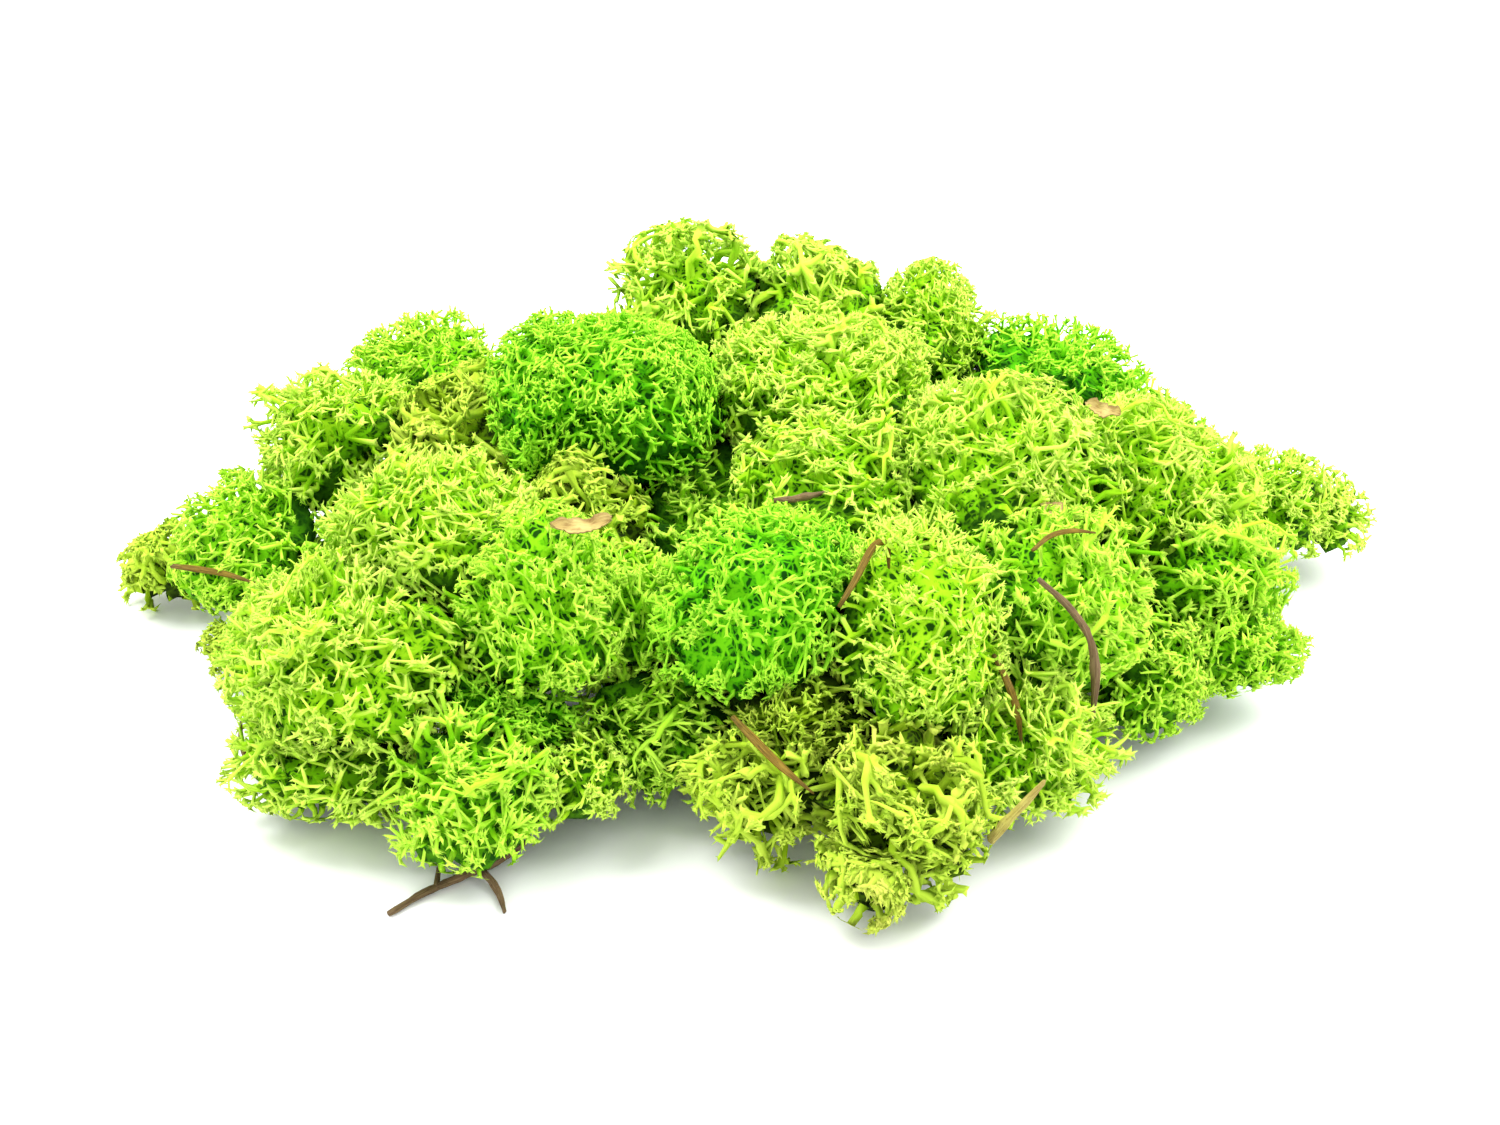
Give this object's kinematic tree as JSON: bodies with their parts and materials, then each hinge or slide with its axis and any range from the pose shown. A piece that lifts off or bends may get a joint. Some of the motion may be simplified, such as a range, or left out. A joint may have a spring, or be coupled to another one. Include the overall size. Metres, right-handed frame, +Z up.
{
  "type": "preserved lichen clump",
  "caption": "Loose mound of bright green forked reindeer lichen cushions, with dry pine needles, twigs and bark flakes caught in it, resting on its underside.",
  "frame": {"origin": "centre of the bounding box at the underside, on the surface that the clump lies on", "axes": "+Z up, +X along the length of the clump to its low right tip, +Y from the front of the clump to its back"},
  "size_m": [0.2986, 0.2072, 0.0751],
  "materials": {
    "emerald_lichen": "matt, dense emerald green lichen",
    "leaf_green_lichen": "matt, leaf green lichen",
    "lime_lichen": "matt, yellow-green lichen",
    "olive_lichen": "matt, dull olive lichen, less dyed",
    "dry_needle": "dry brown pine needle, faintly glossy",
    "dark_twig": "dry dark twig, matt",
    "bark_flake": "papery beige bark flake, matt"
  },
  "bodies": {
    "root": {"front_left_foot": "lime_lichen", "front_left_toe": "leaf_green_lichen", "front_left_bud": "lime_lichen", "left_net": "lime_lichen", "left_crown": "lime_lichen", "left_ridge": "leaf_green_lichen", "left_cleft": "emerald_lichen", "low_valley": "leaf_green_lichen", "mid_left": "leaf_green_lichen", "centre_dome": "emerald_lichen", "olive_strip": "olive_lichen", "centre_right": "lime_lichen", "front_tip_left": "olive_lichen", "front_tip": "olive_lichen", "front_toe": "olive_lichen", "front_right_foot": "lime_lichen", "right_dome_front": "leaf_green_lichen", "right_dome_side": "leaf_green_lichen", "right_net": "leaf_green_lichen", "right_crown": "lime_lichen", "right_back": "lime_lichen", "right_shoulder": "leaf_green_lichen", "far_right": "lime_lichen", "far_right_tip": "lime_lichen", "green_knob": "emerald_lichen", "back_right_dome": "emerald_lichen", "back_top_left": "lime_lichen", "back_top_middle": "lime_lichen", "back_top_right": "lime_lichen", "centre_back": "lime_lichen", "centre_middle": "lime_lichen", "emerald_top": "emerald_lichen", "olive_valley": "olive_lichen", "left_back_dome": "leaf_green_lichen", "left_hollow": "olive_lichen", "left_shoulder": "lime_lichen", "left_flank": "leaf_green_lichen", "left_low": "leaf_green_lichen", "left_fringe": "olive_lichen", "left_scrap": "olive_lichen", "under_left": "leaf_green_lichen", "under_middle": "leaf_green_lichen", "under_right": "leaf_green_lichen", "under_back": "lime_lichen", "under_back_left": "leaf_green_lichen", "under_back_right": "leaf_green_lichen", "needle_left_fringe": "dry_needle", "needle_pair_left": "dry_needle", "ground_twig": "dark_twig", "needle_front": "dry_needle", "needle_dark_middle": "dark_twig", "needle_bent_middle": "dry_needle", "twig_curved_right": "dark_twig", "needle_right": "dry_needle", "stalk_front_right": "dry_needle", "needle_thin_right": "dry_needle", "flake_right_crown": "bark_flake", "flake_right_back": "bark_flake", "flake_left_ridge": "bark_flake"}
  },
  "joints": []
}
